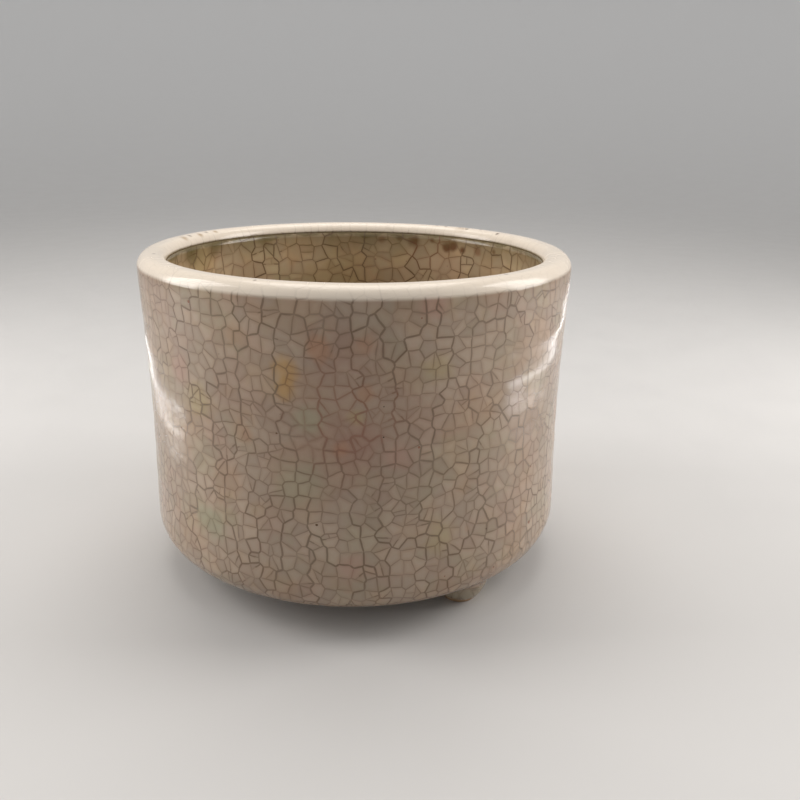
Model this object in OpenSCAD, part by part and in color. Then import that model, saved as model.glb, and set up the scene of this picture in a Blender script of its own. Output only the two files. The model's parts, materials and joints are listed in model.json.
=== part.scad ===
// Round tripod bonsai pot: a thrown stoneware body on three luted clay feet, under a crackle glaze.
// Millimetres, +Z up. The origin is on the pot's axis, in the plane that its three soles stand on.

/* [Body] */
// Diameter across the outside of the lip
mouth_d = 116; // [90:1:200]
// Height from the underside of the body to the top of the lip
body_h = 81; // [50:1:150]
// Thickness of the clay wall, under its glaze
wall_t = 6; // [4.5:0.1:9]
// Thickness of the clay floor, under its glaze
floor_t = 5.6; // [3.5:0.1:9]
// How far the outside wall draws in at mid height, on the radius
waist_in = 0.6; // [0:0.1:2.5]
// How much smaller the radius is at the bottom of the wall than at the lip
base_in = 0.2; // [0:0.1:4]
// Radius of the round corner between the outside wall and the underside
base_round = 9; // [7:0.5:13]
// Radius of the round corner between the inside wall and the floor
floor_round = 8; // [4:0.5:14]

/* [Lip] */
// Radius that rounds the outer edge of the lip
lip_out_round = 3.4; // [2:0.1:3.8]
// Width of the flat crown between the lip's two rounded edges
lip_flat = 1.1; // [0.2:0.1:1.4]

/* [Glaze] */
// Thickness of the glaze coat, inside and outside
glaze_t = 0.7; // [0.3:0.05:1]

/* [Drain hole] */
// Diameter of the drain hole through the clay floor
drain_d = 16; // [8:0.5:24]
// Width of the ring of bare clay where the glaze is wiped back from the drain hole
drain_bare = 0.8; // [0.3:0.1:3]

/* [Feet] */
// Height from the standing plane to the underside of the body
foot_h = 6.5; // [5:0.5:14]
// Diameter of a glazed foot at its root, against the body
foot_d = 16; // [12:0.2:20]
// Diameter of the flat sole that a foot stands on
sole_d = 5; // [4:0.2:9]
// Distance from the bottom of the outside wall in to the middle of a foot, on the radius
foot_inset = 12.6; // [8.4:0.2:16]
// How far a foot spreads up the body's round corner before its side runs straight up
foot_climb = 3; // [0:0.5:6]
// Height above the standing plane where the glaze on a foot stops and bare clay shows
foot_bare_h = 1.2; // [0.6:0.1:3]

/* [Hidden] */
$fn = 96;

feet = 3;            // feet, spread evenly round the axis
first_turn = -90;    // the first foot stands on -Y
corner_steps = 10;   // steps along a quarter round of the body
lip_steps = 8;       // steps along a quarter round of the lip
wall_steps = 10;     // steps up the drawn-in wall
foot_steps = 8;      // steps up the side of a foot

mouth_r = mouth_d / 2;
total_h = foot_h + body_h;
total_t = wall_t + 2 * glaze_t;
floor_top = foot_h + floor_t + 2 * glaze_t;
drain_r = drain_d / 2;
coat_r = drain_r + drain_bare;

// The outside wall runs between its two round corners.
wall_low = foot_h + base_round;
wall_high = total_h - lip_out_round;
base_r = mouth_r - base_in;

// The lip's inner edge takes up what its outer edge and its crown leave of the wall.
lip_in_round = total_t - lip_out_round - lip_flat;
seam_z = total_h - lip_in_round;

// The inside wall ends where the round corner of the floor starts.
bowl_low = floor_top + floor_round;

foot_r = foot_d / 2;
sole_r = sole_d / 2;
foot_mid = base_r - foot_inset;
foot_root_z = foot_h + foot_climb;

// Points on an arc about [x, z], from one angle to another.
function arc(x, z, r, from, to, steps) =
    [for (i = [0 : steps]) let (a = from + (to - from) * i / steps) [x + r * cos(a), z + r * sin(a)]];

function reversed(points) = [for (i = [len(points) - 1 : -1 : 0]) points[i]];

// Radius of the glazed outside wall at height z: a slight taper and one shallow waist.
function wall_r(z) =
    let (t = (z - wall_low) / (wall_high - wall_low))
    mouth_r - base_in * (1 - t) - waist_in * (1 - cos(360 * t)) / 2;

// Points up or down a wall between two heights, without the two ends, moved by shift on the radius.
function wall_points(from_z, to_z, shift) =
    [for (i = [1 : wall_steps - 1])
        let (z = from_z + (to_z - from_z) * i / wall_steps) [wall_r(z) + shift, z]];

// The outside from the underside up to the crown of the lip, inset under the glaze's surface.
function outside(inset) = concat(
    arc(base_r - base_round, wall_low, base_round - inset, -90, 0, corner_steps),
    wall_points(wall_low, wall_high, -inset),
    arc(mouth_r - lip_out_round, wall_high, lip_out_round - inset, 0, 90, lip_steps));

// The inner edge of the lip, from its crown down to the seam with the inside coat.
function lip_edge(inset) =
    arc(mouth_r - total_t + lip_in_round, seam_z, lip_in_round - inset, 90, 180, lip_steps);

// The inside from the seam down to the flat of the floor, inset under the glaze's surface.
function inside(inset) = concat(
    [[mouth_r - total_t + inset, seam_z]],
    wall_points(seam_z, bowl_low, inset - total_t),
    arc(wall_r(bowl_low) - total_t - floor_round, bowl_low, floor_round + inset, 0, -90, corner_steps));

// The side of a foot, a quarter ellipse from height low up to its root.
function foot_side(root_r, low) =
    let (start = acos(1 - low / foot_root_z))
    [for (i = [0 : foot_steps])
        let (a = start + (90 - start) * i / foot_steps)
        [sole_r + (root_r - sole_r) * sin(a), foot_root_z * (1 - cos(a))]];

// A solid foot, from height low up into the body.
module foot_form(root_r, low)
    rotate_extrude()
        polygon(concat([[0, low]], foot_side(root_r, low), [[root_r, wall_low], [0, wall_low]]));

// The whole outside of the body as one solid, inset under the glaze's surface.
module body_form(inset)
    rotate_extrude()
        polygon(concat([[0, foot_h + inset]], outside(inset), [[0, total_h - inset]]));

module at_foot(number)
    rotate([0, 0, first_turn + (number - 1) * 360 / feet])
        translate([foot_mid, 0, 0])
            children();

module foot_core(number)
    at_foot(number) foot_form(foot_r - glaze_t, 0);

module clay_body()
    color([0.74, 0.63, 0.50])
        rotate_extrude()
            polygon(concat(
                [[drain_r, foot_h + glaze_t]],
                outside(glaze_t),
                lip_edge(glaze_t),
                inside(glaze_t),
                [[drain_r, floor_top - glaze_t]]));

// A clay foot, its root cut to the underside and the round corner of the clay body.
module foot(number)
    color([0.70, 0.58, 0.45])
        difference() {
            foot_core(number);
            body_form(glaze_t);
        }

// The coat over the lip, the outside wall and the underside, and down the sides of the feet.
module outer_glaze()
    color([0.66, 0.60, 0.53])
        difference() {
            union() {
                rotate_extrude()
                    polygon(concat(
                        [[coat_r, foot_h]],
                        outside(0),
                        lip_edge(0),
                        reversed(lip_edge(glaze_t)),
                        reversed(outside(glaze_t)),
                        [[coat_r, foot_h + glaze_t]]));
                difference() {
                    for (number = [1 : feet])
                        at_foot(number) foot_form(foot_r, foot_bare_h);
                    body_form(glaze_t / 2);
                }
            }
            for (number = [1 : feet])
                foot_core(number);
        }

// The coat on the inside wall and the floor, from the seam inside the lip to the drain hole.
module inner_glaze()
    color([0.60, 0.55, 0.46])
        rotate_extrude()
            polygon(concat(
                inside(0),
                [[coat_r, floor_top], [coat_r, floor_top - glaze_t]],
                reversed(inside(glaze_t))));

clay_body();
foot(1);  // foot_1
foot(2);  // foot_2
foot(3);  // foot_3
outer_glaze();
inner_glaze();
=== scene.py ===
import json
import math
from functools import partialmethod

import bpy
import numpy as np
from bpy.props import FloatProperty, FloatVectorProperty, IntProperty, PointerProperty
from mathutils import Matrix, Vector


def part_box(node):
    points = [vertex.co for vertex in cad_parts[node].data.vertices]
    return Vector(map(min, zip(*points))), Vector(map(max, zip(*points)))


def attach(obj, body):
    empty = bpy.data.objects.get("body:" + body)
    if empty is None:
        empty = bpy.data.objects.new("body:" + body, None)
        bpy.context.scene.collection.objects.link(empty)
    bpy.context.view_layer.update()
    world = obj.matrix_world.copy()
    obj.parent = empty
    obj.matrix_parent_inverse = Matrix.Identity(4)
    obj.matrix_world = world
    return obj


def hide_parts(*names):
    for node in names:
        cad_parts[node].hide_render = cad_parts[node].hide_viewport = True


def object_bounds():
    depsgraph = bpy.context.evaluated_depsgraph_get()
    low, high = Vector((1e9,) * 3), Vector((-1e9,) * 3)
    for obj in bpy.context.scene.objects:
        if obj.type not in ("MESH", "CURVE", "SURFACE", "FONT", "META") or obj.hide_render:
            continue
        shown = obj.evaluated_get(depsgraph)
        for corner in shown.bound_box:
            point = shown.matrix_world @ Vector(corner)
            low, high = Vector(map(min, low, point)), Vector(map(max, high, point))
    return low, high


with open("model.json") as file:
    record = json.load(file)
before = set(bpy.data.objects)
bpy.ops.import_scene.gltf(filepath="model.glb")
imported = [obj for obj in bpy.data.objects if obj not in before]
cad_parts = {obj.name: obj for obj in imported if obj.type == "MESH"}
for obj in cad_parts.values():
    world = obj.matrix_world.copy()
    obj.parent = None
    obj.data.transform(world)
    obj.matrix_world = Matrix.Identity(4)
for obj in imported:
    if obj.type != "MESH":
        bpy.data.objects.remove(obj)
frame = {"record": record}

bl_info = {
    "name": "Crackle Glaze Pot",
    "version": (1, 0, 0),
    "blender": (4, 5, 0),
    "location": "View3D > Sidebar > Pot",
    "description": "Builds a round tripod pot of stoneware under a crackle glaze",
    "category": "Object",
}

# The CAD box, and the sizes that the fixed frame gives.
CAD_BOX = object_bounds()
CLAY_LOW, CLAY_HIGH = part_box("clay_body")
OUTER_LOW, OUTER_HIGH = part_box("outer_glaze")
INNER_LOW, INNER_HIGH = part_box("inner_glaze")
FOOT_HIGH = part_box("foot_1")[1]
MOUNTS = {mount["name"]: mount for mount in frame["record"]["mounts"]}

COAT_T = CAD_BOX[1].z - CLAY_HIGH.z
LIP_R = min(OUTER_HIGH.x, OUTER_HIGH.y, -OUTER_LOW.x, -OUTER_LOW.y)
BOWL_R = INNER_HIGH.y - COAT_T
FOOT_PITCH_R = -MOUNTS["feet"]["pos_m"][1]
DRAIN_R = MOUNTS["drain_hole"]["dims"]["r_mm"] / 1000
MM = 0.001
TURN = 2 * math.pi
FEET = 3
FOOT_COAT_T = 0.45 * MM
FOOT_STEPS = 72


# ---------------------------------------------------------------- settings

def length(name, description, default, low=0.0, high=1.0):
    return FloatProperty(name=name, description=description, default=default, min=low, max=high,
                         precision=5, subtype="DISTANCE", unit="LENGTH")


def share(name, description, default):
    return FloatProperty(name=name, description=description, default=default, min=0, max=1,
                         subtype="FACTOR")


def angle(name, description, degrees):
    return FloatProperty(name=name, description=description, default=math.radians(degrees),
                         subtype="ANGLE", unit="ROTATION")


def colour(name, description, default):
    return FloatVectorProperty(name=name, description=description, default=default, size=3,
                               min=0, max=1, subtype="COLOR")


class PotForm(bpy.types.PropertyGroup):
    """Sizes of the thrown body and its feet."""
    lip_r: length("Lip radius", "Radius across the outside of the lip", LIP_R)
    top_z: length("Top", "Height of the lip above the soles", CAD_BOX[1].z)
    under_z: length("Underside", "Height of the underside above the soles", CLAY_LOW.z - COAT_T)
    wall_t: length("Wall", "Thickness of the glazed wall", LIP_R - BOWL_R)
    floor_z: length("Floor", "Height of the glazed floor above the soles", INNER_LOW.z + COAT_T)
    coat_t: length("Coat", "Thickness of the glaze", COAT_T)
    lip_out: length("Lip, outside", "Radius of the outer edge of the lip", 3.4 * MM)
    lip_in: length("Lip, inside", "Radius of the inner edge of the lip", CAD_BOX[1].z - INNER_HIGH.z)
    base_round: length("Base corner", "Radius between the wall and the underside", 9 * MM)
    floor_round: length("Floor corner", "Radius between the wall and the floor", 8 * MM)
    waist_in: length("Waist", "How far the wall draws in at mid height", 0.6 * MM)
    base_in: length("Taper", "How much less the radius is at the bottom of the wall", 0.2 * MM)
    drain_r: length("Drain hole", "Radius of the drain hole", DRAIN_R)
    drain_bare: length("Wiped ring", "Width of the bare clay round the drain hole", 0.8 * MM)
    foot_pitch_r: length("Foot circle", "Radius from the axis to the middle of a foot", FOOT_PITCH_R)
    foot_r: length("Foot", "Radius of a glazed foot at its root", FOOT_HIGH.x + COAT_T)
    sole_r: length("Sole", "Radius of the flat sole", 2.5 * MM)
    foot_climb: length("Foot climb", "How far a foot spreads up the base corner", 3 * MM)
    foot_bare: length("Bare foot", "Height on a foot where the glaze stops", OUTER_LOW.z)
    foot_fillet: length("Foot fillet", "Radius of the glaze pooled where a foot meets the base", 1.0 * MM)
    ring_depth: length("Throwing rings", "Depth of the rings left by throwing", 0.10 * MM)
    ring_pitch: length("Ring pitch", "Height from one throwing ring to the next", 9 * MM)
    unevenness: length("Unevenness", "How far the hand-thrown wall wanders in", 0.25 * MM)
    around: IntProperty(name="Steps round", description="Steps round the pot", default=288, min=24)


class GlazeLook(bpy.types.PropertyGroup):
    """Colours and grain of the crackle glaze and the clay."""
    body: colour("Glaze", "Colour of the glaze on the walls", (0.385, 0.297, 0.222))
    inside: colour("Inside", "Colour of the glaze inside", (0.50, 0.385, 0.25))
    # The lip's colour is partly a paler glaze and partly painted light on its lit top.
    lip: colour("Lip", "Colour of the thick white glaze on the lip", (0.87, 0.77, 0.65))
    crack: colour("Crack", "Stain in the cracks", (0.115, 0.066, 0.034))
    ochre: colour("Ochre", "Warm iron bloom in the glaze", (0.47, 0.27, 0.075))
    rust: colour("Rust", "Red-brown iron stain", (0.25, 0.085, 0.045))
    olive: colour("Olive", "Band under the inner edge of the lip", (0.13, 0.10, 0.035))
    clay: colour("Clay", "Fired clay where it is bare", (0.36, 0.23, 0.13))
    cell: length("Cell", "Usual width of a cell of the crackle, before it splits", 3.2 * MM)
    crack_w: length("Crack width", "Half the width of the widest cracks", 0.34 * MM)
    split: share("Split", "Share of the cells that short cracks split", 0.60)
    gloss: share("Roughness", "Roughness of the fired glaze", 0.16)
    specks: IntProperty(name="Iron specks", description="Specks to a square metre", default=1700, min=0)
    seed: IntProperty(name="Seed", description="Seed of the specks", default=7, min=0)


class StudioSetup(bpy.types.PropertyGroup):
    """Camera and light."""
    azimuth: angle("Azimuth", "Direction the camera stands in, from -Y", -36.7)
    turn: angle("Turn", "How far the camera looks to the right of the axis", 3.214)
    tilt: angle("Tilt", "How far the camera looks down", 19.16)
    roll: angle("Roll", "How far the camera leans", 0.83)
    distance: length("Distance", "From the axis to the camera", 3.8205 * LIP_R)
    height: length("Height", "From the underside to the camera", 1.9525 * LIP_R)
    lens: FloatProperty(name="Lens", description="Focal length for a 36 mm sensor", default=36,
                        subtype="DISTANCE_CAMERA", unit="CAMERA")
    floor: colour("Floor", "Colour of the floor", (0.60, 0.59, 0.58))


# ---------------------------------------------------------------- node helpers

class Value:
    """What a node puts out. Sums of numbers are written as usual, and each step makes a Math node."""

    def __init__(self, tree, socket):
        self.tree, self.socket = tree, socket

    def calc(self, operation, *others):
        return put(self.tree, "ShaderNodeMath", enumerate((self, *others)), operation=operation)[0]

    def after(self, operation, first):
        return put(self.tree, "ShaderNodeMath", enumerate((first, self)), operation=operation)[0]

    __add__ = __radd__ = partialmethod(calc, "ADD")
    __mul__ = __rmul__ = partialmethod(calc, "MULTIPLY")
    __sub__, __rsub__ = partialmethod(calc, "SUBTRACT"), partialmethod(after, "SUBTRACT")
    __truediv__, __rtruediv__ = partialmethod(calc, "DIVIDE"), partialmethod(after, "DIVIDE")
    __mod__, __pow__ = partialmethod(calc, "FLOORED_MODULO"), partialmethod(calc, "POWER")
    __lt__, __gt__ = partialmethod(calc, "LESS_THAN"), partialmethod(calc, "GREATER_THAN")
    __abs__ = partialmethod(calc, "ABSOLUTE")


class Outputs:
    """The outputs of a node, by name or number."""

    def __init__(self, tree, node):
        self.tree, self.node = tree, node

    def __getitem__(self, key):
        return Value(self.tree, self.node.outputs[key])

    def first(self, count):
        return [self[number] for number in range(count)]


def send(sockets, values):
    """Gives each named input its value, or a link from what another node puts out."""
    for key, value in dict(values).items():
        if isinstance(value, Value):
            value.tree.links.new(value.socket, sockets[key])
        else:
            sockets[key].default_value = value


def put(tree, kind, inputs=(), **settings):
    """Adds a node, sets its settings, fills its inputs and returns its outputs."""
    node = tree.nodes.new(kind)
    for key, value in settings.items():
        setattr(node, key, value)
    send(node.inputs, inputs)
    return Outputs(tree, node)


def larger(first, second):
    return first.calc("MAXIMUM", second)


def smaller(first, second):
    return first.calc("MINIMUM", second)


def vcalc(operation, *values, output=0, **named):
    """One Vector Math node."""
    inputs = {**dict(enumerate(values)), **named}
    return put(values[0].tree, "ShaderNodeVectorMath", inputs, operation=operation)[output]


def parted(vector):
    """The X, Y and Z of a vector."""
    return put(vector.tree, "ShaderNodeSeparateXYZ", {0: vector}).first(3)


def joined(tree, x=0.0, y=0.0, z=0.0):
    """A vector of X, Y and Z."""
    return put(tree, "ShaderNodeCombineXYZ", {0: x, 1: y, 2: z})[0]


def channels(paint):
    """The three channels of a colour, used as three dice."""
    return put(paint.tree, "ShaderNodeSeparateColor", {0: paint}).first(3)


def object_place(tree):
    """The place on the object."""
    return put(tree, "ShaderNodeTexCoord")["Object"]


def axis_distance(place):
    """Distance from the pot's axis."""
    return vcalc("LENGTH", vcalc("MULTIPLY", place, (1.0, 1.0, 0.0)), output=1)


def fade(value, start, end, low=0.0, high=1.0):
    """Runs smoothly from low to high as value goes from start to end."""
    inputs = {"Value": value, "From Min": start, "From Max": end, "To Min": low, "To Max": high}
    return put(value.tree, "ShaderNodeMapRange", inputs, interpolation_type="SMOOTHSTEP")["Result"]


def noise(vector, scale, detail=2.0, output="Fac"):
    """Noise, 0 to 1."""
    inputs = {"Vector": vector, "Scale": scale, "Detail": detail}
    return put(vector.tree, "ShaderNodeTexNoise", inputs)[output]


def cells(vector, feature="F1", randomness=1.0):
    """A flat pattern of cells about one unit wide."""
    inputs = {"Vector": vector, "Scale": 1.0, "Randomness": randomness}
    return put(vector.tree, "ShaderNodeTexVoronoi", inputs, voronoi_dimensions="2D", feature=feature)


def tint(share_of_second, first, second):
    """Mixes two colours, each plain or from a node."""
    colours = {key: paint if isinstance(paint, Value) else (*tuple(paint)[:3], 1.0)
               for key, paint in ((6, first), (7, second))}
    return put(share_of_second.tree, "ShaderNodeMix", {0: share_of_second, **colours},
               data_type="RGBA", clamp_factor=True)[2]


def bumped(relief, strength):
    """A normal bent by a relief in metres."""
    inputs = {"Height": relief, "Strength": strength, "Distance": 1.0}
    return put(relief.tree, "ShaderNodeBump", inputs)[0]


FLOAT, VECTOR, GEOMETRY = "NodeSocketFloat", "NodeSocketVector", "NodeSocketGeometry"
WHOLE, FINISH = "NodeSocketInt", "NodeSocketMaterial"


def new_group(name, inputs, outputs, kind="ShaderNodeTree"):
    """An empty node group. Inputs are (name, socket type, default), and outputs (name, socket type)."""
    tree = bpy.data.node_groups.new(name, kind)
    for label, socket_kind, default in inputs:
        socket = tree.interface.new_socket(label, in_out="INPUT", socket_type=socket_kind)
        if default is not None:
            socket.default_value = default
    for label, socket_kind in outputs:
        tree.interface.new_socket(label, in_out="OUTPUT", socket_type=socket_kind)
    given = Outputs(tree, tree.nodes.new("NodeGroupInput"))
    return tree, given, tree.nodes.new("NodeGroupOutput").inputs


# ---------------------------------------------------------------- shared shader groups

def wrap_group():
    """Flat coordinates that follow a round wall and its floor, and the distance to where they are cut."""
    tree, given, out = new_group(
        "Wall Wrap",
        [("Radius", FLOAT, LIP_R), ("Seam", FLOAT, 0.0), ("Base Height", FLOAT, 0.01),
         ("Lip Height", FLOAT, 0.085)],
        [("Coordinates", VECTOR), ("Cut", FLOAT)])
    seam_wander, border_wander = 0.2, 6 * MM
    place, radius = object_place(tree), given["Radius"]
    x, y, z = parted(place)
    wander = noise(joined(tree, z=z), 70, 3.0) * seam_wander
    bearing = (y.calc("ARCTAN2", x) - given["Seam"]) % TURN
    seam = abs(bearing - wander) * radius
    bearing = (bearing < wander) * TURN + bearing
    over = (radius - axis_distance(place)) * (z > given["Lip Height"])
    wall = joined(tree, bearing * radius, z + over)
    base = joined(tree, z * 0.8 + x, z * 0.6 + (y + 1.0))
    above = z + (noise(place, 170, 2.0) - 0.5) * border_wander - given["Base Height"]
    on_wall = above > 0.0
    flat = put(tree, "ShaderNodeMix", {0: on_wall, 4: base, 5: wall}, data_type="VECTOR")[1]
    send(out, {"Coordinates": flat, "Cut": smaller(seam + (1.0 - on_wall), abs(above))})
    return tree


def crackle_group():
    """Cells of crackle: long cracks that run between cells, short ones that split a cell in two or three."""
    tree, given, out = new_group(
        "Crackle",
        [("Coordinates", VECTOR, None), ("Cut", FLOAT, 1.0), ("Cell", FLOAT, 0.0046),
         ("Width", FLOAT, 0.0003), ("Split", FLOAT, 0.5), ("Long", FLOAT, 2.8)],
        [("Crack", FLOAT), ("Halo", FLOAT), ("Tile", FLOAT), ("Patch", FLOAT)])
    evenness, tallness = 0.68, 0.36
    room_for_two, room_for_three = 0.39, 0.43
    cell, cut, place = given["Cell"], given["Cut"], given["Coordinates"]
    for scale, reach in ((26, 5 * MM), (300, 0.5 * MM)):
        push = vcalc("SUBTRACT", noise(place, scale, 1.0, "Color"), (0.5, 0.5, 0.5))
        place = vcalc("MULTIPLY_ADD", push, (reach, reach, 0.0), place)
    place = vcalc("SCALE", place, Scale=1.0 / cell)
    own, other = cells(place, "F1", evenness), cells(place, "F2", evenness)
    gap = cells(place, "DISTANCE_TO_EDGE", evenness)["Distance"] * cell

    regions = []
    for spot in (own["Position"], other["Position"]):
        coarse = vcalc("SCALE", vcalc("MULTIPLY", spot, (1.0, tallness, 1.0)), Scale=1.0 / given["Long"])
        regions.append(channels(cells(coarse)["Color"])[0])
    long = abs(regions[0] - regions[1]) > 0.001

    usual = fade(noise(given["Coordinates"], 120, 2.0), 0.34, 0.66, 0.26, 0.68)
    strong = fade(noise(given["Coordinates"], 60, 1.0), 0.3, 0.6, 0.75, 1.0)
    strength = larger(usual, long * strong)
    wide = given["Width"] * (strength * 0.7 + 0.4)
    line = fade(gap, 0.0, wide, 1.0, 0.0) * strength

    lean_die, shift_die, split_die = channels(own["Color"])
    lean = lean_die * math.pi
    cosine, sine = lean.calc("COSINE"), lean.calc("SINE")
    offset = vcalc("SUBTRACT", place, own["Position"])
    side = vcalc("DOT_PRODUCT", offset, joined(tree, cosine, sine), output=1) - (shift_die - 0.5) * 0.3
    second = vcalc("DOT_PRODUCT", offset, joined(tree, sine, cosine * -1.0), output=1)
    room = cells(place, "N_SPHERE_RADIUS", evenness)["Radius"]
    in_two = (split_die < given["Split"]) * (room > room_for_two)
    in_three = (split_die < given["Split"] * 0.5) * (room > room_for_three) * (side > 0.0)
    for distance, present in ((side, in_two), (second, in_three)):
        away = abs(distance) * cell + (1.0 - present)
        line = larger(line, fade(away, 0.0, wide * 0.8, 1.0, 0.0) * (strength * 0.8))
        gap = smaller(gap, away)
    line = larger(line, fade(cut, 0.0, wide * 0.6, 1.0, 0.0) * strength)

    part = (side > 0.0) * in_two + (second > 0.0) * in_three
    send(out, {"Crack": line, "Halo": fade(smaller(gap, cut), 0.0, 1.1 * MM, 1.0, 0.0),
               "Tile": (part * 0.38 + shift_die).calc("FRACT"), "Patch": regions[0]})
    return tree


def bloom_group():
    """A soft, ragged patch round a place on the object, as a mask."""
    tree, given, out = new_group(
        "Bloom",
        [("Centre", VECTOR, None), ("Reach", FLOAT, 0.01), ("Ragged", FLOAT, 0.6), ("Grain", FLOAT, 160.0)],
        [("Mask", FLOAT)])
    place = object_place(tree)
    away = vcalc("DISTANCE", place, given["Centre"], output=1) / given["Reach"]
    away = (noise(place, given["Grain"], 3.0) - 0.5) * (given["Ragged"] * 2.0) + away
    send(out, {"Mask": fade(away, 0.2, 1.0, 1.0, 0.0)})
    return tree


def pinhole_group():
    """Small round pits and dark dots scattered through a coat, as a mask."""
    tree, given, out = new_group(
        "Pinholes", [("Pitch", FLOAT, 0.006), ("Size", FLOAT, 0.0003)], [("Mask", FLOAT)])
    inputs = {"Vector": object_place(tree), "Scale": 1.0 / given["Pitch"], "Randomness": 1.0}
    dots = put(tree, "ShaderNodeTexVoronoi", inputs)
    size = channels(dots["Color"])[0] ** 3.0 * given["Size"]
    away = dots["Distance"] * given["Pitch"] - size
    send(out, {"Mask": fade(away, -0.1 * MM, 0.05 * MM, 1.0, 0.0)})
    return tree


GROUPS = {"Wall Wrap": wrap_group, "Crackle": crackle_group, "Bloom": bloom_group,
          "Pinholes": pinhole_group}


def use_group(tree, name, inputs):
    """Places a shared shader group, which is built once, with its own values."""
    node = tree.nodes.new("ShaderNodeGroup")
    node.node_tree = bpy.data.node_groups.get(name) or GROUPS[name]()
    send(node.inputs, inputs)
    return Outputs(tree, node)


# ---------------------------------------------------------------- materials

def blank(name):
    """A material with a Principled shader and its output."""
    material = bpy.data.materials.get(name) or bpy.data.materials.new(name)
    material.use_nodes = True
    tree = material.node_tree
    tree.nodes.clear()
    shader = tree.nodes.new("ShaderNodeBsdfPrincipled")
    output = tree.nodes.new("ShaderNodeOutputMaterial")
    tree.links.new(shader.outputs[0], output.inputs["Surface"])
    return material, shader.inputs, object_place(tree)


def stain(under, blooms):
    """Lays soft patches of colour over a colour. Each bloom is (place, reach, colour, strength)."""
    for centre, reach, paint, strength in blooms:
        mask = use_group(under.tree, "Bloom", {"Centre": centre, "Reach": reach})["Mask"]
        under = tint(mask * strength, under, paint)
    return under


def on_wall(radius, degrees, height):
    """A place on a round wall."""
    turn = math.radians(degrees)
    return Vector((radius * math.cos(turn), radius * math.sin(turn), height))


def on_walls(radius, rows):
    """Blooms on a round wall, from rows of (bearing, height, reach, colour, strength), in degrees and mm."""
    return tuple((on_wall(radius, bearing, height * MM), reach * MM, paint, strength)
                 for bearing, height, reach, paint, strength in rows)


def glaze_material(name, form, look, body, radius, seam, base_height, grain, depth, blooms, crack_blooms,
                   lip_blooms=()):
    """The crackle glaze. grain is how large its cells are, and depth how dark its cracks are stained."""
    material, shader, place = blank(name)
    tree, height = place.tree, parted(place)[2]
    wrap = use_group(tree, "Wall Wrap", {
        "Radius": radius, "Seam": seam, "Base Height": base_height, "Lip Height": form.top_z - form.lip_out})
    crackle = use_group(tree, "Crackle", {
        "Coordinates": wrap["Coordinates"], "Cut": wrap["Cut"], "Cell": look.cell * grain,
        "Width": look.crack_w, "Split": look.split})

    # Clouds of the body colour, small shifts of hue, and a tone for each tile of the crackle.
    paint = tint(fade(noise(place, 28, 3.0), 0.35, 0.65), body * 0.93, body * 1.06)
    hues = [[b * k for b, k in zip(body, lean)]
            for lean in ((0.88, 1.0, 0.84), (1.03, 0.85, 0.83), (1.06, 0.90, 0.70))]
    for scale, low, high, amount in ((75, 0.50, 0.64, 0.30), (210, 0.56, 0.70, 0.20)):
        for die, hue in zip(channels(noise(place, scale, 1.5, "Color")), hues):
            paint = tint(fade(die, low, high) * amount, paint, hue)
    tile = fade(crackle["Tile"], 0.0, 1.0, 0.925, 1.09) * fade(crackle["Patch"], 0.0, 1.0, 0.95, 1.05)
    paint = stain(vcalc("SCALE", paint, Scale=tile), blooms)
    foot_part = fade(height, form.under_z - 1.2 * MM, form.under_z + 0.2 * MM, 0.55, 0.0)
    paint = tint(foot_part, paint, (0.36, 0.335, 0.25))

    # Darker beside the cracks, olive and brown under the inner rim, and pale on the lip: partly a paler
    # glaze, partly painted light where the lip's top faces the lamps.
    lip = fade(height, form.top_z - 3.4 * MM, form.top_z - 2.2 * MM)
    # The halos fade out on the lip, partly for the paler glaze and partly as painted highlight.
    halo = crackle["Halo"] * (lip * -0.8 + 1.0)
    paint = tint(halo * 0.30, paint, vcalc("MULTIPLY", paint, (0.66, 0.54, 0.46)))
    inner_r, rim_line = form.lip_r - form.wall_t, form.top_z - 2.4 * MM
    inner_side = fade(axis_distance(place), inner_r + 0.1 * MM, inner_r + 0.6 * MM, 1.0, 0.0)
    level = height + (noise(place, 140, 3.0) - 0.5) * (6 * MM)
    brown = fade(level, rim_line - 9 * MM, rim_line) * 0.58
    line = fade(level, rim_line - 2.6 * MM, rim_line - 0.9 * MM) * 0.8
    paint = tint(larger(brown, line) * inner_side, paint, look.olive)
    inner_cut = fade(height, rim_line - 0.5 * MM, rim_line + 0.3 * MM, 1.0, 0.0)
    lip_glaze_and_painted_light = lip * (1.0 - inner_side * inner_cut)
    paint = stain(tint(lip_glaze_and_painted_light * 0.92, paint, look.lip), lip_blooms)

    # Stain in the cracks, and pinholes.
    moss = fade(noise(place, 55, 2.0), 0.5, 0.65, 0.0, 0.5)
    crack_paint = stain(tint(moss, look.crack, Vector(look.olive) * 0.7), crack_blooms)
    # The cracks fade out on the lip too, partly for the paler glaze and partly as painted highlight.
    paint = tint(crackle["Crack"] * ((lip_glaze_and_painted_light * -0.84 + 1.0) * depth), paint, crack_paint)
    pin = use_group(tree, "Pinholes", {"Pitch": 7 * MM, "Size": 0.5 * MM})["Mask"]
    paint = tint(pin * 0.75, paint, look.rust)

    rough = fade(noise(place, 60, 3.0), 0.3, 0.7, look.gloss * 0.75, look.gloss * 1.5)
    rough = crackle["Crack"] * 0.12 + rough
    peel, swell, groove, pit = 0.05 * MM, 0.16 * MM, -0.012 * MM, -0.1 * MM
    relief = noise(place, 340, 2.0) * peel + noise(place, 70, 1.0) * swell
    relief = pin * pit + (crackle["Crack"] * groove + relief)
    send(shader, {"Base Color": paint, "Roughness": rough, "IOR": 1.5, "Normal": bumped(relief, 0.8)})
    return material


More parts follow.
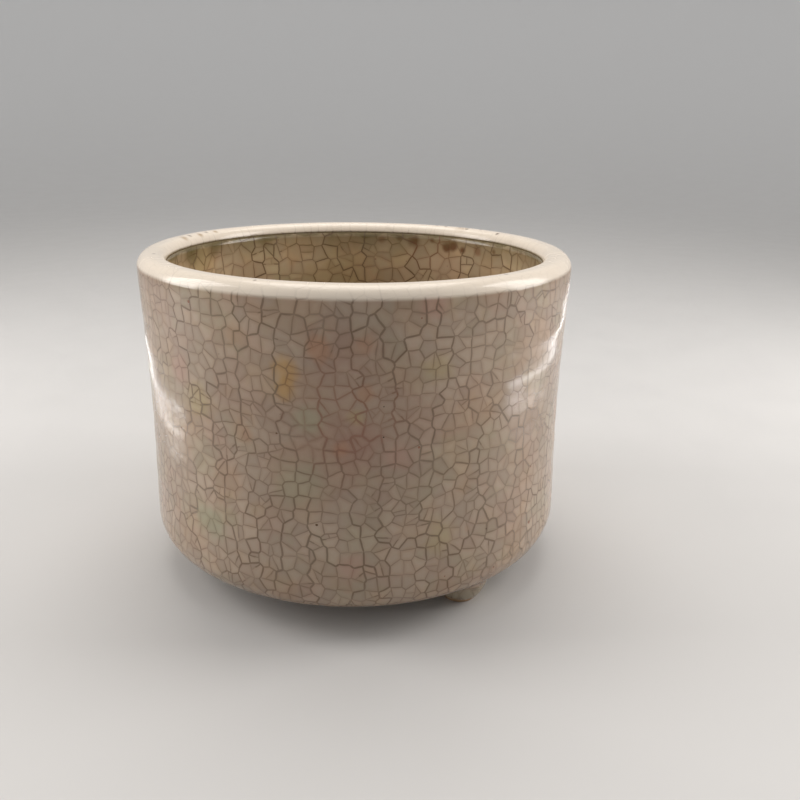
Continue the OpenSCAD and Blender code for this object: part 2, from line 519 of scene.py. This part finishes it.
def outer_glaze_material(form, look):
    """The coat that is seen outside."""
    r, orange, flesh = form.lip_r, (0.46, 0.20, 0.08), (0.42, 0.25, 0.19)
    yellow, moss, brick = (0.44, 0.35, 0.14), (0.31, 0.33, 0.21), (0.30, 0.155, 0.11)
    blooms = on_walls(r, (
        (-128, 56, 30, (0.31, 0.205, 0.145), 0.60), (-128, 52, 9, brick, 0.50), (-129, 75, 9, brick, 0.35),
        (-142.5, 69, 4.5, look.ochre, 0.62), (-142.8, 64.5, 4.2, look.ochre, 0.62),
        (-134.6, 74, 3.8, orange, 0.34), (-124.9, 75, 3.0, orange, 0.22), (-125, 64, 3.2, orange, 0.27),
        (-127, 58.5, 3.0, yellow, 0.35), (-130.6, 51, 3.0, orange, 0.28), (-154, 52.7, 4.0, orange, 0.22),
        (-154, 76, 4.5, orange, 0.20), (-172.7, 64, 6, flesh, 0.60), (-110.6, 83.5, 5, flesh, 0.55),
        (-118, 49, 5, flesh, 0.50), (-127.9, 21, 5, flesh, 0.60), (-108.5, 69, 5, yellow, 0.35),
        (-168, 58.6, 6, yellow, 0.40), (-107.6, 27, 6, yellow, 0.30), (-164.6, 27, 7, moss, 0.50),
        (-138, 57.5, 5, moss, 0.40), (-140, 42, 8, moss, 0.35),
        (40, 50, 16, flesh, 0.50), (95, 40, 10, look.ochre, 0.40), (70, 66, 7, orange, 0.30),
        (-32, 61, 12, moss, 0.45), (-50, 35, 6, look.ochre, 0.35), (10, 30, 9, yellow, 0.40),
        (140, 60, 14, (0.335, 0.215, 0.15), 0.40)))
    dot, singe = (0.09, 0.045, 0.025), (0.36, 0.22, 0.09)
    lip_blooms = tuple((on_wall(r - inset * MM, bearing, form.top_z - drop * MM), reach * MM, paint, strength)
                       for bearing, inset, drop, reach, paint, strength in (
        (24, 3.4, 0.0, 0.9, dot, 0.85), (20, 4.6, 0.1, 0.8, dot, 0.80), (15, 3.9, 0.0, 0.7, dot, 0.80),
        (11, 5.2, 0.4, 1.1, dot, 0.85), (6, 4.2, 0.1, 0.8, dot, 0.75), (-3, 5.4, 0.5, 1.0, dot, 0.80),
        (13, 5.0, 0.4, 3.0, singe, 0.35), (109, 5.4, 0.5, 1.4, singe, 0.70), (113, 5.0, 0.3, 1.0, dot, 0.60),
        (117, 5.6, 0.7, 1.6, singe, 0.70), (122, 5.2, 0.4, 1.0, dot, 0.60), (126, 5.5, 0.6, 1.8, singe, 0.60),
        (-88, 4.0, 0.0, 0.8, dot, 0.60), (160, 4.4, 0.1, 0.8, dot, 0.60), (-150, 3.0, 0.1, 0.7, dot, 0.55)))
    crack_blooms = on_walls(r, ((-129, 58, 19, look.rust, 0.75), (100, 45, 15, look.rust, 0.60)))
    return glaze_material("outer_glaze", form, look, Vector(look.body), r, math.radians(55),
                          form.under_z + 3 * MM, 1.0, 0.78, blooms, crack_blooms, lip_blooms)


def inner_glaze_material(form, look):
    """The coat inside, more stained than outside."""
    r, flesh, yellow = form.lip_r - form.wall_t, (0.44, 0.30, 0.20), (0.46, 0.37, 0.17)
    iron = (0.15, 0.05, 0.025)
    blooms = on_walls(r, (
        (60, 69, 16, yellow, 0.40), (20, 74, 12, flesh, 0.50), (95, 72, 11, flesh, 0.45),
        (120, 80, 7, yellow, 0.45), (-20, 70, 12, yellow, 0.45), (-120, 50, 20, flesh, 0.40),
        (31, 82.7, 3.2, iron, 0.90), (15, 81.6, 2.4, iron, 0.90), (11, 80.8, 1.8, iron, 0.90),
        (18, 81.0, 2.0, iron, 0.85), (4, 81.2, 2.2, look.rust, 0.60), (44, 82.5, 2.0, look.rust, 0.50),
        (24, 83.0, 1.6, iron, 0.80), (-4, 81.8, 1.5, iron, 0.70), (37, 83.2, 1.5, iron, 0.70),
        (126, 83.8, 5.5, look.olive, 0.60), (112, 84.0, 5.0, look.olive, 0.55),
        (90, 83.5, 4.0, look.olive, 0.45)))
    blooms += ((Vector((0.01, 0.0, form.floor_z)), 26 * MM, (0.30, 0.22, 0.14), 0.5),)
    crack_blooms = on_walls(r, ((24, 80, 12, look.rust, 0.55),))
    return glaze_material("inner_glaze", form, look, Vector(look.inside), r, math.radians(-125),
                          form.floor_z + 4 * MM, 1.35, 0.95, blooms, crack_blooms)


def clay_material(look):
    """Bare stoneware, with grog and iron flecks."""
    material, shader, place = blank("stoneware")
    clay, cloud = Vector(look.clay), noise(place, 130, 4.0)
    paint = tint(fade(cloud, 0.3, 0.7), clay * 0.72, clay * 1.15)
    grog = put(place.tree, "ShaderNodeTexVoronoi", {"Vector": place, "Scale": 900.0})
    fleck = fade(grog["Distance"], 0.15, 0.35, 1.0, 0.0)
    pick = channels(grog["Color"])[0]
    paint = tint(fleck * fade(pick, 0.55, 0.8), paint, clay * 1.7)
    paint = tint(fleck * fade(pick, 0.25, 0.1), paint, look.rust)
    relief = fleck * (0.05 * MM) + noise(place, 1500, 3.0) * (0.10 * MM)
    send(shader, {"Base Color": paint, "Roughness": fade(cloud, 0.2, 0.8, 0.72, 0.92),
                  "Normal": bumped(relief, 1.0)})
    return material


def speck_material():
    """Iron that has melted up through the glaze."""
    material, shader, place = blank("iron_speck")
    dark, warm = (0.05, 0.028, 0.018), (0.16, 0.085, 0.045)
    send(shader, {"Base Color": tint(fade(noise(place, 500, 2.0), 0.3, 0.7), dark, warm),
                  "Roughness": fade(noise(place, 900, 2.0), 0.3, 0.7, 0.2, 0.4)})
    return material


def floor_material(colour_near):
    """A plain pale studio floor, paler far out."""
    material, shader, place = blank("studio_floor")
    near, far = Vector(colour_near), (0.93, 0.93, 0.93)
    paint = tint(noise(place, 3, 3.0), near * 0.97, near * 1.02)
    away = vcalc("LENGTH", place, output=1)
    send(shader, {"Base Color": tint(fade(away, 0.35, 2.2), paint, far),
                  "Roughness": fade(noise(place, 40, 3.0), 0.3, 0.7, 0.55, 0.7)})
    return material


# ---------------------------------------------------------------- outlines

def arc(x, z, r, start, end, steps):
    """Points on an arc about (x, z), from one angle in degrees to another."""
    turns = np.radians(np.linspace(start, end, steps + 1))
    return [(x + r * math.cos(a), z + r * math.sin(a)) for a in turns]


def wall_r(form, z):
    """Radius of the glazed outside wall at height z: a slight taper and one shallow waist."""
    low, high = form.under_z + form.base_round, form.top_z - form.lip_out
    t = (z - low) / (high - low)
    return form.lip_r - form.base_in * (1 - t) - form.waist_in * (1 - math.cos(TURN * t)) / 2


def flat_r(form):
    """Radius of the flat of the underside."""
    return form.lip_r - form.base_in - form.base_round


def wall_points(form, from_z, to_z, shift, steps=44):
    """Points along a wall between two heights, without the two ends."""
    heights = np.linspace(from_z, to_z, steps + 1)[1:-1]
    return [(wall_r(form, z) + shift, z) for z in heights]


def flat_points(from_r, to_r, z, steps):
    """Points along a flat ring between two radii, without the two ends."""
    return [(r, z) for r in np.linspace(from_r, to_r, steps + 1)[1:-1]]


def outside(form, inset):
    """The outside from the underside up to the crown of the lip."""
    low, high = form.under_z + form.base_round, form.top_z - form.lip_out
    return (arc(flat_r(form), low, form.base_round - inset, -90, 0, 18)
            + wall_points(form, low, high, -inset)
            + arc(form.lip_r - form.lip_out, high, form.lip_out - inset, 0, 90, 14))


def lip_edge(form, inset):
    """The inner edge of the lip, down to the seam with the inside coat."""
    x = form.lip_r - form.wall_t + form.lip_in
    return arc(x, form.top_z - form.lip_in, form.lip_in - inset, 90, 180, 14)


def inside(form, inset):
    """The inside from the seam down to the flat of the floor."""
    seam, low = form.top_z - form.lip_in, form.floor_z + form.floor_round
    x = wall_r(form, low) - form.wall_t - form.floor_round
    return ([(form.lip_r - form.wall_t + inset, seam)]
            + wall_points(form, seam, low, inset - form.wall_t)
            + arc(x, low, form.floor_round + inset, 0, -90, 16))


def outer_coat_outline(form):
    """The outside coat's skin and its back, its edge rolled where it is wiped back at the drain hole."""
    coat, edge = form.coat_t, form.drain_r + form.drain_bare
    roll = arc(edge + coat / 2, form.under_z + coat / 2, coat / 2, 90, 270, 8)
    flat = flat_points(edge + coat / 2, flat_r(form), form.under_z, 24)
    skin = roll + flat + outside(form, 0) + lip_edge(form, 0)
    back = outside(form, coat) + lip_edge(form, coat)
    return skin, back[::-1]


def inner_coat_outline(form):
    """The inside coat's skin and its back."""
    coat, edge = form.coat_t, form.drain_r + form.drain_bare
    roll = arc(edge + coat / 2, form.floor_z - coat / 2, coat / 2, 90, 270, 8)
    end = inside(form, 0)[-1]
    skin = inside(form, 0) + flat_points(end[0], edge + coat / 2, form.floor_z, 24) + roll
    return skin, inside(form, coat)[::-1]


def clay_outline(form):
    """A closed outline of the clay body, the edges of its drain hole sponged round."""
    coat, soft = form.coat_t, 0.6 * MM
    low, high = form.under_z + coat, form.floor_z - coat
    lower = arc(form.drain_r + soft, low + soft, soft, 180, 270, 6)
    upper = arc(form.drain_r + soft, high - soft, soft, 90, 180, 6)
    flat_low = flat_points(form.drain_r + soft, flat_r(form), low, 12)
    end = inside(form, coat)[-1]
    flat_high = flat_points(end[0], form.drain_r + soft, high, 12)
    bore = [(form.drain_r, z) for z in np.linspace(high - soft, low + soft, 6)[1:-1]]
    skin = lower + flat_low + outside(form, coat) + lip_edge(form, coat) + inside(form, coat)
    return skin + flat_high + upper + bore, []


def foot_core_outline(form):
    """A closed outline of one clay foot, its sole worn round at the edge."""
    worn, coat = 0.5 * MM, FOOT_COAT_T
    root_z = form.under_z + form.foot_climb
    reach = form.foot_r - coat - form.sole_r
    side = [(form.sole_r + reach * math.sin(a), root_z * (1 - math.cos(a)))
            for a in np.radians(np.linspace(0, 90, 17))]
    side = [(r, z) for r, z in side if z > worn]
    edge = arc(side[0][0] - worn, worn, worn, -90, -10, 5)
    sole = [(r, 0.0) for r in np.linspace(0.0, edge[0][0], 6)[:-1]]
    root = [(r, root_z) for r in np.linspace(side[-1][0], 0.0, 6)[1:]]
    return sole + edge + side + root, []


# ---------------------------------------------------------------- geometry node trees

def finished(shape, material):
    """Shades a shape smooth, makes it real and gives it its material."""
    tree = shape.tree
    shape = put(tree, "GeometryNodeSetShadeSmooth", {"Geometry": shape, "Shade Smooth": True})[0]
    shape = put(tree, "GeometryNodeRealizeInstances", {"Geometry": shape})[0]
    return put(tree, "GeometryNodeSetMaterial", {"Geometry": shape, "Material": material})[0]


def thrown_tree():
    """Turns an outline round the axis, then gives it throwing rings and a hand-thrown wander."""
    tree, given, out = new_group("Thrown Form", [
        ("Outline", GEOMETRY, None), ("Around", WHOLE, 96), ("Closed", WHOLE, 1), ("Skin Points", WHOLE, 0),
        ("Centre", VECTOR, None), ("Low", FLOAT, 0.0), ("High", FLOAT, 1.0), ("Ring Depth", FLOAT, 0.0),
        ("Ring Pitch", FLOAT, 0.009), ("Unevenness", FLOAT, 0.0), ("Material", FINISH, None)],
        [("Mesh", GEOMETRY)], "GeometryNodeTree")
    low, high, uneven = given["Low"], given["High"], given["Unevenness"]

    # A grid with a row for each point of the outline, the first one again at the end of a closed one.
    points = put(tree, "GeometryNodeAttributeDomainSize", {"Geometry": given["Outline"]})["Point Count"]
    rows = points + given["Closed"]
    grid = put(tree, "GeometryNodeMeshGrid", {
        "Size X": 1.0, "Size Y": 1.0, "Vertices X": rows, "Vertices Y": given["Around"] + 1.0})["Mesh"]
    here = put(tree, "GeometryNodeInputPosition")[0]
    grid_x, grid_y, _ = parted(here)
    row = ((grid_x + 0.5) * (rows - 1.0)).calc("ROUND")
    turn = (grid_y + 0.5) * TURN
    inputs = {"Geometry": given["Outline"], "Value": here, "Index": row % points}
    radius, _, height = parted(put(tree, "GeometryNodeSampleIndex", inputs, data_type="FLOAT_VECTOR")[0])
    across = joined(tree, turn.calc("COSINE"), turn.calc("SINE"))

    # The rings and the wander draw the wall in, and fade out at the base corner and under the lip.
    rise = fade(height, low, low + 12 * MM)
    fall = fade(height, high - 14 * MM, high - 4 * MM, 1.0, 0.0)
    rings = (height / given["Ring Pitch"] * TURN + turn).calc("SINE") * 0.5 + 0.5
    drift = noise(vcalc("ADD", across, joined(tree, z=height * 16.0)), 1.1, 1.0)
    inward = (rings * given["Ring Depth"] + drift * uneven) * (rise * fall)
    sink = noise(across, 0.9, 1.0) * uneven * fade(height, low, high, 0.0, 0.6)
    place = vcalc("ADD", vcalc("SCALE", across, Scale=radius - inward), joined(tree, z=height - sink))
    place = vcalc("ADD", place, given["Centre"])

    skin = put(tree, "FunctionNodeCompare", {0: row, 1: given["Skin Points"]}, operation="LESS_THAN")[0]
    shape = put(tree, "GeometryNodeStoreNamedAttribute", {"Geometry": grid, "Name": "skin", "Value": skin},
                data_type="BOOLEAN", domain="POINT")[0]
    shape = put(tree, "GeometryNodeSetPosition", {"Geometry": shape, "Position": place})[0]
    shape = put(tree, "GeometryNodeFlipFaces", {"Mesh": shape})[0]
    shape = put(tree, "GeometryNodeMergeByDistance", {"Geometry": shape, "Distance": 1e-6})[0]
    send(out, {"Mesh": finished(shape, given["Material"])})
    return tree


def speck_tree():
    """Scatters small flat beads of melted iron over the skin of a coat."""
    tree, given, out = new_group("Iron Specks", [
        ("Coat", GEOMETRY, None), ("Density", FLOAT, 2000.0), ("Smallest", FLOAT, 0.0001),
        ("Largest", FLOAT, 0.0004), ("Seed", WHOLE, 0), ("Material", FINISH, None)],
        [("Specks", GEOMETRY)], "GeometryNodeTree")
    skin = put(tree, "GeometryNodeInputNamedAttribute", {"Name": "skin"}, data_type="BOOLEAN")[0]
    spots = put(tree, "GeometryNodeDistributePointsOnFaces", {
        "Mesh": given["Coat"], "Selection": skin, "Density": given["Density"], "Seed": given["Seed"]})
    bead = put(tree, "GeometryNodeMeshIcoSphere", {"Radius": 1.0, "Subdivisions": 2})["Mesh"]
    dice = put(tree, "FunctionNodeRandomValue", {"Seed": given["Seed"]}, data_type="FLOAT")[1]
    size = fade(dice ** 3.0, 0.0, 1.0, given["Smallest"], given["Largest"])
    beads = put(tree, "GeometryNodeInstanceOnPoints", {
        "Points": spots["Points"], "Instance": bead, "Rotation": spots["Rotation"],
        "Scale": vcalc("MULTIPLY", size, (1.0, 0.85, 0.3))})[0]
    send(out, {"Specks": finished(beads, given["Material"])})
    return tree


def tree_named(name):
    """A geometry node tree, built once."""
    makers = {"Thrown Form": thrown_tree, "Iron Specks": speck_tree}
    return bpy.data.node_groups.get(name) or makers[name]()


def placed(name, data):
    """A new object in the scene."""
    thing = bpy.data.objects.new(name, data)
    bpy.context.scene.collection.objects.link(thing)
    return thing


def grown(name, mesh, tree, values):
    """Runs a geometry node tree on a mesh, and makes the result one plain object."""
    source = placed(name + "_source", mesh)
    modifier = source.modifiers.new(tree.name, "NODES")
    modifier.node_group = tree
    sockets = {item.name: item.identifier for item in tree.interface.items_tree if item.in_out == "INPUT"}
    for label, value in values.items():
        modifier[sockets[label]] = value
    bpy.context.view_layer.update()
    depsgraph = bpy.context.evaluated_depsgraph_get()
    plain = bpy.data.meshes.new_from_object(source.evaluated_get(depsgraph), depsgraph=depsgraph)
    source.modifiers.remove(modifier)
    bpy.data.objects.remove(source)
    plain.name = name
    return placed(name, plain)


def thrown(name, outline, material, form, closed=True, centre=(0, 0, 0), hand=1.0):
    """A piece turned from an outline. hand is how much of the hand-thrown wander it takes."""
    skin, back = outline
    points = skin + back
    mesh = bpy.data.meshes.new(name + "_outline")
    mesh.from_pydata([(r, 0, z) for r, z in points], [(i, i + 1) for i in range(len(points) - 1)], [])
    return grown(name, mesh, tree_named("Thrown Form"), {
        "Around": form.around if hand else FOOT_STEPS, "Closed": int(closed), "Skin Points": len(skin),
        "Centre": centre, "Low": form.under_z + form.base_round, "High": form.top_z,
        "Ring Depth": form.ring_depth * hand, "Ring Pitch": form.ring_pitch,
        "Unevenness": form.unevenness * hand, "Material": material})


# ---------------------------------------------------------------- feet

def foot_turn(number):
    """Bearing of a foot; the first stands on -Y."""
    return -TURN / 4 + (number - 1) * TURN / FEET


def foot_middle(form, number):
    turn = foot_turn(number)
    return np.array([form.foot_pitch_r * math.cos(turn), form.foot_pitch_r * math.sin(turn)])


def body_gap(form, p):
    """Distance from the outside of the underside and its round corner."""
    out = np.hypot(p[:, 0], p[:, 1]) - flat_r(form)
    down = form.under_z + form.base_round - p[:, 2]
    beyond = np.hypot(np.maximum(out, 0), np.maximum(down, 0))
    return beyond + np.minimum(np.maximum(out, down), 0) - form.base_round


def foot_gap(form, middle, p):
    """Distance from the side of a foot, near enough."""
    reach, root_z = form.foot_r - form.sole_r, form.under_z + form.foot_climb
    r = np.hypot(p[:, 0] - middle[0], p[:, 1] - middle[1])
    u = np.maximum(r - form.sole_r, 0) / reach
    v = np.maximum(root_z - p[:, 2], 0) / root_z
    size = np.maximum(np.hypot(u, v), 1e-9)
    slope = np.hypot(u / reach, v / root_z) / size
    return (size - 1) / np.maximum(slope, 1e-9)


def pooled_gap(form, middle, p):
    """Distance from body and foot together, with glaze pooled in the corner between them."""
    body, foot = body_gap(form, p), foot_gap(form, middle, p)
    pool = np.maximum(form.foot_fillet * 2 - np.abs(body - foot), 0)
    return np.minimum(body, foot) - pool ** 2 / (form.foot_fillet * 8)


def settle(gap, p, level, rounds=14, step=0.00001):
    """Moves points until they lie at the given distance from a surface."""
    p = p.copy()
    for _ in range(rounds):
        here = gap(p)
        slope = np.stack([(gap(p + axis * step) - here) / step for axis in np.eye(3)], axis=1)
        steep = np.maximum((slope ** 2).sum(axis=1), 0.2)
        p -= ((here - level) / steep)[:, None] * slope
    return p


def unrolled(form, flat):
    """Points on the underside and its round corner, from places on that surface rolled out flat."""
    reach = np.hypot(flat[:, 0], flat[:, 1])
    bend = np.maximum(reach - flat_r(form), 0) / form.base_round
    r = np.minimum(reach, flat_r(form)) + form.base_round * np.sin(bend)
    z = form.under_z + form.base_round * (1 - np.cos(bend))
    return np.column_stack([flat[:, 0] / reach * r, flat[:, 1] / reach * r, z])


def side_r(form, z):
    """Radius of the side of a glazed foot at height z."""
    reach, root_z = form.foot_r - form.sole_r, form.under_z + form.foot_climb
    return form.sole_r + reach * np.sqrt(np.maximum(1 - (np.maximum(root_z - z, 0) / root_z) ** 2, 0))


def foot_join(form, middle, away):
    """Where the side of a foot meets the base: its places there rolled out flat, and their heights."""
    start, z = flat_r(form), np.full(len(away), form.under_z)
    for _ in range(6):
        xy = middle + away * side_r(form, z)[:, None]
        reach = np.hypot(xy[:, 0], xy[:, 1])
        out = np.clip(reach - start, 0, form.base_round)
        z = form.under_z + form.base_round - np.sqrt(form.base_round ** 2 - out ** 2)
    rolled = np.where(reach > start, start + form.base_round * np.arcsin(out / form.base_round), reach)
    return xy / reach[:, None] * rolled[:, None], z


def smooth_mesh(name, points, faces, material):
    """A mesh that is shaded smooth all over."""
    mesh = bpy.data.meshes.new(name)
    mesh.from_pydata(points, [], faces)
    mesh.polygons.foreach_set("use_smooth", [True] * len(faces))
    mesh.materials.append(material)
    mesh.update()
    return mesh


def foot_coat_mesh(form, number, glaze, steps_round=96):
    """The glaze down one foot: its rolled lower edge, its side, and the pool that runs out on the base."""
    hem_lift, hem_waver, skirt, thin_edge = 0.3 * MM, 0.22 * MM, 3.2 * MM, 0.15 * MM
    middle = foot_middle(form, number)
    turns = np.linspace(0, TURN, steps_round, endpoint=False)
    away = np.column_stack([np.cos(turns), np.sin(turns)])
    join_flat, join_z = foot_join(form, middle, away)
    waver = np.sin(2 * turns + number) + 0.6 * np.sin(5 * turns + 2.3 * number)
    hem = form.foot_bare + hem_waver * waver + hem_lift

    def on_side(share_up):
        z = hem + (join_z - hem) * share_up
        return np.column_stack([middle + away * side_r(form, z)[:, None], z])

    def on_base(share_out):
        return unrolled(form, join_flat + away * skirt * share_out)

    # Each row goes round the foot: where it starts, and how far out of the glaze's surface it lies.
    roll = [(on_side(0.0) + (0, 0, rise * MM), level * MM) for rise, level in (
        (0.16, -0.45), (0.04, -0.36), (0.0, -0.24), (0.02, -0.12), (0.10, -0.04))]
    side = [(on_side(up), 0.0) for up in np.linspace(0, 1, 26)[1:]]
    pool = [(on_base(out), -thin_edge * max(0.0, (out - 0.7) / 0.3) ** 2)
            for out in np.linspace(0, 1, 20)[1:]]
    under = [(on_base(out), -FOOT_COAT_T) for out in np.linspace(1, 0, 8)]
    inner = [(on_side(up), -FOOT_COAT_T) for up in np.linspace(1, 0, 12)[1:-1]]
    rows = []
    for start, level in roll + side + pool + under + inner:
        row = settle(lambda p: pooled_gap(form, middle, p), start, level)
        if len(rows) < len(roll):
            row[:, 2] = start[:, 2]
        rows.append(row)
    count, across = len(rows), steps_round
    faces = [(i * across + j, i * across + (j + 1) % across,
              (i + 1) % count * across + (j + 1) % across, (i + 1) % count * across + j)
             for i in range(count) for j in range(across)]
    return smooth_mesh(f"foot_coat_{number}", np.concatenate(rows).tolist(), faces, glaze)


# ---------------------------------------------------------------- operators

def pot_collection():
    """The pieces of the pot, for lights that shine on nothing else."""
    return bpy.data.collections.get("pot") or bpy.data.collections.new("pot")


def hand_in(piece, slot, *nodes):
    """Lets a finished piece ride on the pot's body and stand for its CAD nodes. Its slot is not used."""
    pot_collection().objects.link(piece)
    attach(piece, "root")
    if nodes:
        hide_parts(*nodes)


class POT_OT_clay_body(bpy.types.Operator):
    """Throw the clay body with its drain hole"""
    bl_idname = "pot.clay_body"
    bl_label = "Clay Body"

    def execute(self, context):
        form, look = context.scene.pot_form, context.scene.pot_glaze
        piece = thrown("clay_wall_and_floor", clay_outline(form), clay_material(look), form)
        hand_in(piece, "stoneware", "clay_body")
        return {"FINISHED"}


class POT_OT_foot_cores(bpy.types.Operator):
    """Lute on the three clay feet"""
    bl_idname = "pot.foot_cores"
    bl_label = "Clay Feet"

    def execute(self, context):
        form, look = context.scene.pot_form, context.scene.pot_glaze
        clay = clay_material(look)
        for number in range(1, FEET + 1):
            middle = (*foot_middle(form, number), 0.0)
            piece = thrown(f"clay_foot_{number}", foot_core_outline(form), clay, form, closed=False,
                           centre=middle, hand=0.0)
            hand_in(piece, "stoneware", f"foot_{number}")
        return {"FINISHED"}


class POT_OT_outer_coat(bpy.types.Operator):
    """Glaze the lip, the outside wall, the underside and the sides of the feet"""
    bl_idname = "pot.outer_coat"
    bl_label = "Outside Glaze"

    def execute(self, context):
        form, look = context.scene.pot_form, context.scene.pot_glaze
        glaze = outer_glaze_material(form, look)
        coat = thrown("outside_glaze", outer_coat_outline(form), glaze, form)
        hand_in(coat, "outer_glaze", "outer_glaze")
        for number in range(1, FEET + 1):
            piece = placed(f"foot_glaze_{number}", foot_coat_mesh(form, number, glaze))
            hand_in(piece, "outer_glaze", "outer_glaze")
        return {"FINISHED"}


class POT_OT_inner_coat(bpy.types.Operator):
    """Glaze the inside wall and the floor"""
    bl_idname = "pot.inner_coat"
    bl_label = "Inside Glaze"

    def execute(self, context):
        form, look = context.scene.pot_form, context.scene.pot_glaze
        coat = thrown("inside_glaze", inner_coat_outline(form), inner_glaze_material(form, look), form)
        hand_in(coat, "inner_glaze", "inner_glaze")
        return {"FINISHED"}


class POT_OT_iron_specks(bpy.types.Operator):
    """Scatter iron specks over the outside and the inside glaze"""
    bl_idname = "pot.iron_specks"
    bl_label = "Iron Specks"

    def execute(self, context):
        look, material = context.scene.pot_glaze, speck_material()
        for number, (side, slot) in enumerate((("outside", "outer_glaze"), ("inside", "inner_glaze"))):
            coat = bpy.data.objects.get(f"{side}_glaze")
            if coat is None:
                raise RuntimeError(f"glaze the {side} before its specks")
            piece = grown(f"{side}_iron_specks", coat.data.copy(), tree_named("Iron Specks"), {
                "Density": float(look.specks), "Smallest": 0.08 * MM, "Largest": 0.42 * MM,
                "Seed": look.seed + number, "Material": material})
            hand_in(piece, slot)
        return {"FINISHED"}


def sweep_mesh(setup, steps=64):
    """A round floor that curves up into a backdrop all round."""
    under, level_r, sweep_r, top = -0.02 * MM, 0.9, 2.2, 3.0
    profile = arc(level_r, under + sweep_r, sweep_r, -90, 0, 24) + [(level_r + sweep_r, top)]
    turns = [TURN * i / steps for i in range(steps)]
    points = [(r * math.cos(a), r * math.sin(a), z) for r, z in profile for a in turns]
    centre = len(points)
    faces = [(centre, i, (i + 1) % steps) for i in range(steps)]
    faces += [(low + i, low + steps + i, low + steps + (i + 1) % steps, low + (i + 1) % steps)
              for low in range(0, centre - steps, steps) for i in range(steps)]
    return smooth_mesh("studio_floor", points + [(0.0, 0.0, under)], faces, floor_material(setup.floor))


def softbox(name, place, aim, width, height, power, warmth=(1.0, 1.0, 1.0)):
    """A rectangular softbox that the camera doesn't see."""
    light = bpy.data.lights.new(name, "AREA")
    light.shape, light.size, light.size_y = "RECTANGLE", width, height
    light.energy, light.color = power, warmth
    lamp = placed(name, light)
    lamp.location = place
    lamp.rotation_euler = (Vector(aim) - Vector(place)).to_track_quat("-Z", "Y").to_euler()
    lamp.visible_camera = False
    return lamp


class POT_OT_studio(bpy.types.Operator):
    """Set up the floor, the lights and the camera"""
    bl_idname = "pot.studio"
    bl_label = "Studio"

    def execute(self, context):
        setup, form = context.scene.pot_studio, context.scene.pot_form
        facing = Matrix.Rotation(setup.azimuth, 4, "Z")

        camera = placed("camera", bpy.data.cameras.new("camera"))
        camera.data.sensor_width, camera.data.lens = 36, setup.lens
        camera.data.clip_start, camera.data.clip_end = 0.01, 50
        at = facing @ Vector((0, -setup.distance, form.under_z + setup.height))
        camera.matrix_world = (Matrix.Translation(at) @ Matrix.Rotation(setup.azimuth - setup.turn, 4, "Z")
                               @ Matrix.Rotation(TURN / 4 - setup.tilt, 4, "X")
                               @ Matrix.Rotation(setup.roll, 4, "Z"))
        context.scene.camera = camera
        placed("studio_floor", sweep_mesh(setup))

        # Three softboxes light everything, and four strips low down beside the pot light only the pot.
        middle = (0, 0, form.top_z / 2)
        for name, at, width, height, power, warmth in (
                ("top_softbox", (0.0, 0.25, 0.8), 0.6, 0.6, 2.95, (1.0, 0.97, 0.93)),
                ("left_softbox", (-0.42, 0.02, 0.24), 0.20, 0.40, 1.3, (1.0, 0.97, 0.94)),
                ("right_softbox", (0.42, 0.02, 0.24), 0.20, 0.40, 1.3, (1.0, 0.97, 0.94))):
            softbox(name, facing @ Vector(at), middle, width, height, power, warmth)
        for name, at, aim, long, power in (
                ("left_strip", (-0.153, 0.125, 0.004), (0.0, 0.125, 0.004), 0.17, 0.014),
                ("left_strip_near", (-0.151, 0.018, 0.004), (0.0, 0.025, 0.004), 0.044, 0.005),
                ("right_strip", (0.211, 0.220, 0.004), (0.0, 0.220, 0.004), 0.30, 0.022),
                ("right_strip_near", (0.200, 0.012, 0.004), (0.0, 0.055, 0.004), 0.125, 0.017)):
            strip = softbox(name, facing @ Vector(at), facing @ Vector(aim), long, 0.0035, power)
            strip.light_linking.receiver_collection = pot_collection()

        world = bpy.data.worlds.new("studio")
        world.use_nodes = True
        backdrop = world.node_tree.nodes["Background"].inputs
        backdrop["Color"].default_value = (0.98, 0.97, 0.96, 1.0)
        backdrop["Strength"].default_value = 0.49
        context.scene.world = world
        context.scene.view_settings.view_transform = "Standard"
        return {"FINISHED"}


class POT_PT_panel(bpy.types.Panel):
    """Lists the pot's pieces and settings"""
    bl_idname = "POT_PT_panel"
    bl_label = "Crackle Glaze Pot"
    bl_space_type = "VIEW_3D"
    bl_region_type = "UI"
    bl_category = "Pot"

    def draw(self, context):
        column = self.layout.column(align=True)
        for operator in OPERATORS:
            column.operator(operator.bl_idname)
        for name, group in SETTINGS.items():
            box = self.layout.box()
            for key in group.__annotations__:
                box.prop(getattr(context.scene, name), key)


OPERATORS = (POT_OT_studio, POT_OT_clay_body, POT_OT_foot_cores, POT_OT_outer_coat, POT_OT_inner_coat,
             POT_OT_iron_specks)
SETTINGS = {"pot_form": PotForm, "pot_glaze": GlazeLook, "pot_studio": StudioSetup}
CLASSES = (*SETTINGS.values(), *OPERATORS, POT_PT_panel)


def register():
    for each in CLASSES:
        bpy.utils.register_class(each)
    for name, group in SETTINGS.items():
        setattr(bpy.types.Scene, name, PointerProperty(type=group))


def unregister():
    for name in SETTINGS:
        delattr(bpy.types.Scene, name)
    for each in reversed(CLASSES):
        bpy.utils.unregister_class(each)


def main():
    register()
    bpy.ops.pot.studio()
    bpy.ops.pot.clay_body()
    bpy.ops.pot.foot_cores()
    bpy.ops.pot.outer_coat()
    bpy.ops.pot.inner_coat()
    bpy.ops.pot.iron_specks()


if __name__ == "__main__":
    main()
